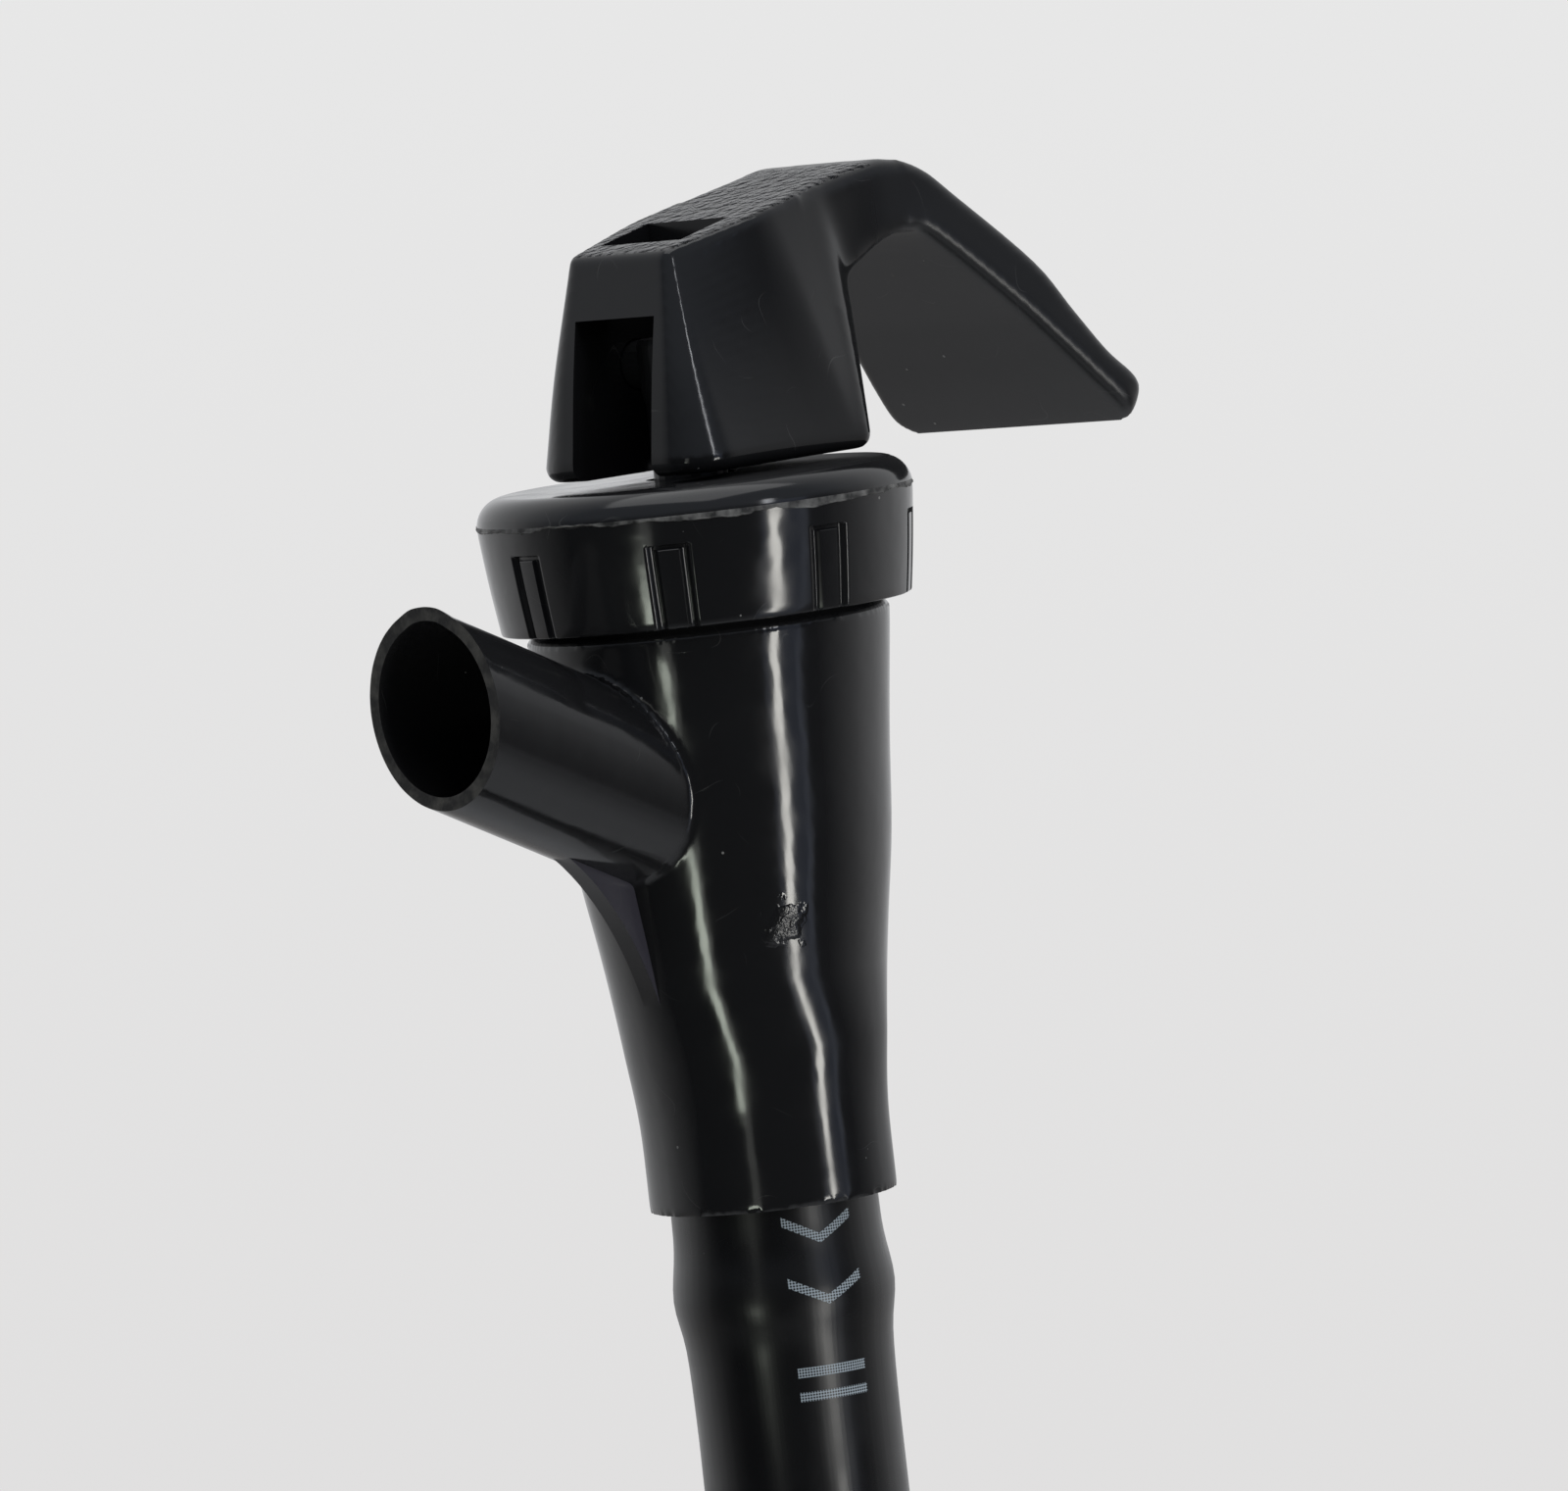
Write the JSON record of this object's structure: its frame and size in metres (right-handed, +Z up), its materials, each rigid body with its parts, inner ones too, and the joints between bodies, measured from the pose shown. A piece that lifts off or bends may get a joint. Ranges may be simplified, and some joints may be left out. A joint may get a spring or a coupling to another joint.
{
  "type": "hand-held beverage tap",
  "caption": "Tapered hose-end drinks tap with a rising side spout, screw cap and thumb lever, on a black hose wound once and tied, with a swivel nut on its far end.",
  "frame": {"origin": "centre of the skirt's lower rim, on the body's axis, where the hose leaves the body", "axes": "+Z up along the body's axis towards the lever, -Y towards the spout's side, +Y towards the thumb paddle, X along the lever's tilt axis"},
  "size_m": [0.0455, 0.1847, 0.258],
  "materials": {
    "black_plastic": "moulded gloss",
    "stem_plastic": "moulded satin",
    "seal_rubber": "matte",
    "spring_steel": "drawn wire",
    "hose_vinyl": "satin",
    "strap_rubber": "matte",
    "fitting_metal": "plated brass",
    "washer_rubber": "matte",
    "clamp_steel": "rolled strip"
  },
  "bodies": {
    "root": {"tap_body": "black_plastic", "cap_nut": "black_plastic", "diaphragm": "seal_rubber", "spring_washer": "stem_plastic", "return_spring": "spring_steel", "hose_cuff": "hose_vinyl", "hose_lead": "hose_vinyl", "hose_coil": "hose_vinyl", "hose_tail": "hose_vinyl", "hose_tie": "strap_rubber", "tailpiece": "fitting_metal", "sealing_washer": "washer_rubber", "ear_clamp": "clamp_steel"},
    "seal": {"valve_seal": "seal_rubber"},
    "stem": {"stem": "stem_plastic"},
    "lever": {"lever": "black_plastic"},
    "nut": {"swivel_nut": "fitting_metal"}
  },
  "joints": [
    {"name": "stem_lift", "type": "slide", "parent": "root", "child": "seal", "axis": [0, 0, 1], "range_m": [0, 0.0038], "deforming": ["return_spring"]},
    {"name": "lever_swivel", "type": "hinge", "parent": "seal", "child": "stem", "pos_m": [0, 0, 0.059], "axis": [0, 0, 1], "range_deg": [-135, 135]},
    {"name": "lever_tilt", "type": "hinge", "parent": "stem", "child": "lever", "pos_m": [0, 0, 0.059], "axis": [-1, 0, 0], "range_deg": [0, 25], "stiffness_Nm_per_rad": 0.4, "springref_deg": -22.92},
    {"name": "nut_spin", "type": "hinge", "parent": "root", "child": "nut", "pos_m": [0.0146, 0, -0.172], "axis": [0, 0, 1], "continuous": true}
  ],
  "couplings": [
    {"joint": "stem_lift", "follows": "lever_tilt", "m_per_rad": 0.0085}
  ]
}
